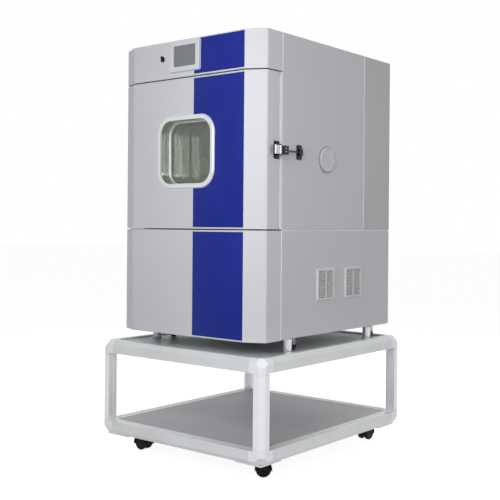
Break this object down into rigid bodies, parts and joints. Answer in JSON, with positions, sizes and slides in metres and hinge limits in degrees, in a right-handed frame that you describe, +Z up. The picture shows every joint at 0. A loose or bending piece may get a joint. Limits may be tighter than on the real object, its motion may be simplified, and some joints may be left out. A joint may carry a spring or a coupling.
{
  "type": "environmental test chamber",
  "caption": "Bench environmental test chamber with windowed door, side latch, access ports and vent grilles, standing on a wheeled aluminium trolley.",
  "frame": {"origin": "middle of the trolley's footprint, on the floor", "axes": "+X to the user's right, +Y towards the back, +Z up; the door faces -Y"},
  "size_m": [0.8, 0.92, 1.564],
  "materials": {
    "bar_aluminium": "satin anodised",
    "connector_metal": "satin",
    "deck_grey": "matt laminate",
    "shelf_grey": "matt laminate",
    "zinc_steel": "zinc plated",
    "castor_black": "glossy",
    "front_paint": "fine powder coat",
    "side_paint": "fine powder coat",
    "rear_paint": "fine powder coat",
    "frame_light": "satin",
    "seal_silicone": "matt",
    "foam": "matt",
    "stainless": "brushed",
    "window_glass": "clear",
    "ring_steel": "satin",
    "bezel_plastic": "satin",
    "screen_dark": "glossy",
    "chrome": "polished",
    "latch_black": "gloss enamel",
    "black_plastic": "satin",
    "grille_plastic": "matt",
    "port_cap": "satin",
    "foot_steel": "satin",
    "motor_paint": "painted",
    "fin_aluminium": "mill finish",
    "compressor_black": "gloss enamel"
  },
  "bodies": {
    "chamber": {"trolley_posts": "bar_aluminium", "trolley_rails": "bar_aluminium", "corner_connectors": "connector_metal", "trolley_top": "deck_grey", "trolley_shelf": "shelf_grey", "castor_plates": "zinc_steel", "fascia": "front_paint", "display_bezel": "bezel_plastic", "display_screen": "screen_dark", "key_switch_body": "chrome", "lower_cover": "front_paint", "frame_hinge_halves": "chrome", "latch_strike": "latch_black", "side_panel_upper_left": "side_paint", "side_panel_upper_right": "side_paint", "side_panel_lower_left": "side_paint", "side_panel_lower_right": "side_paint", "mid_deck": "zinc_steel", "base_frame": "zinc_steel", "levelling_feet": "foot_steel", "insulation": "foam", "liner": "stainless", "front_frame": "frame_light", "door_gasket": "seal_silicone", "roof_panel": "side_paint", "rear_cover": "rear_paint", "rear_panel_lower": "rear_paint", "port_tubes": "ring_steel", "fan_grilles": "grille_plastic", "fan_frames": "black_plastic", "air_baffle": "stainless", "circulation_motor": "motor_paint", "evaporator": "fin_aluminium", "heater": "stainless", "shelf": "stainless", "compressor": "compressor_black", "condenser": "fin_aluminium"},
    "door": {"door_skin": "front_paint", "door_insulation": "foam", "door_inner_pan": "stainless", "window_frame": "stainless", "window_ring": "ring_steel", "window_panes": "window_glass", "door_hinge_halves": "chrome", "latch_base": "latch_black"},
    "latch": {"latch_lever": "chrome"},
    "key": {"key_barrel": "black_plastic"},
    "plug_left": {"port_plug_left": "port_cap"},
    "plug_right": {"port_plug_right": "port_cap"},
    "vent_fan_front": {"fan_rotor_front": "black_plastic"},
    "vent_fan_rear": {"fan_rotor_rear": "black_plastic"},
    "air_fan": {"circulation_fan": "stainless"},
    "castor_front_left": {"castor_housing_front_left": "castor_black"},
    "wheels_front_left": {"castor_wheels_front_left": "castor_black"},
    "castor_front_right": {"castor_housing_front_right": "castor_black"},
    "wheels_front_right": {"castor_wheels_front_right": "castor_black"},
    "castor_rear_left": {"castor_housing_rear_left": "castor_black"},
    "wheels_rear_left": {"castor_wheels_rear_left": "castor_black"},
    "castor_rear_right": {"castor_housing_rear_right": "castor_black"},
    "wheels_rear_right": {"castor_wheels_rear_right": "castor_black"}
  },
  "joints": [
    {"name": "door_hinge", "type": "hinge", "parent": "chamber", "child": "door", "pos_m": [-0.361, -0.3034, 1.1446], "axis": [0, 0, -1], "range_deg": [0, 110]},
    {"name": "latch_pull", "type": "hinge", "parent": "door", "child": "latch", "pos_m": [0.367, -0.331, 1.146], "axis": [0, 0, -1], "range_deg": [0, 28], "stiffness_Nm_per_rad": 0.6},
    {"name": "key_turn", "type": "hinge", "parent": "chamber", "child": "key", "pos_m": [-0.116, -0.418, 1.501], "axis": [0, 1, 0], "range_deg": [0, 90]},
    {"name": "plug_left_pull", "type": "slide", "parent": "chamber", "child": "plug_left", "axis": [-1, 0, 0], "range_m": [0, 0.12]},
    {"name": "plug_right_pull", "type": "slide", "parent": "chamber", "child": "plug_right", "axis": [1, 0, 0], "range_m": [0, 0.12]},
    {"name": "vent_fan_front_spin", "type": "hinge", "parent": "chamber", "child": "vent_fan_front", "pos_m": [0.32, -0.017, 0.6625], "axis": [1, 0, 0], "continuous": true},
    {"name": "vent_fan_rear_spin", "type": "hinge", "parent": "chamber", "child": "vent_fan_rear", "pos_m": [0.32, 0.1735, 0.6625], "axis": [1, 0, 0], "continuous": true},
    {"name": "air_fan_spin", "type": "hinge", "parent": "chamber", "child": "air_fan", "pos_m": [0, 0.1125, 1.1446], "axis": [0, 1, 0], "continuous": true},
    {"name": "swivel_front_left", "type": "hinge", "parent": "chamber", "child": "castor_front_left", "pos_m": [-0.296, -0.348, 0.06], "axis": [0, 0, 1], "continuous": true},
    {"name": "roll_front_left", "type": "hinge", "parent": "castor_front_left", "child": "wheels_front_left", "pos_m": [-0.278, -0.348, 0.027], "axis": [0, 1, 0], "continuous": true},
    {"name": "swivel_front_right", "type": "hinge", "parent": "chamber", "child": "castor_front_right", "pos_m": [0.296, -0.348, 0.06], "axis": [0, 0, 1], "continuous": true},
    {"name": "roll_front_right", "type": "hinge", "parent": "castor_front_right", "child": "wheels_front_right", "pos_m": [0.30999, -0.33667, 0.027], "axis": [-0.6293, 0.7771, 0], "continuous": true},
    {"name": "swivel_rear_left", "type": "hinge", "parent": "chamber", "child": "castor_rear_left", "pos_m": [-0.296, 0.348, 0.06], "axis": [0, 0, 1], "continuous": true},
    {"name": "roll_rear_left", "type": "hinge", "parent": "castor_rear_left", "child": "wheels_rear_left", "pos_m": [-0.296, 0.366, 0.027], "axis": [-1, 0, 0], "continuous": true},
    {"name": "swivel_rear_right", "type": "hinge", "parent": "chamber", "child": "castor_rear_right", "pos_m": [0.296, 0.348, 0.06], "axis": [0, 0, 1], "continuous": true},
    {"name": "roll_rear_right", "type": "hinge", "parent": "castor_rear_right", "child": "wheels_rear_right", "pos_m": [0.296, 0.366, 0.027], "axis": [-1, 0, 0], "continuous": true}
  ]
}
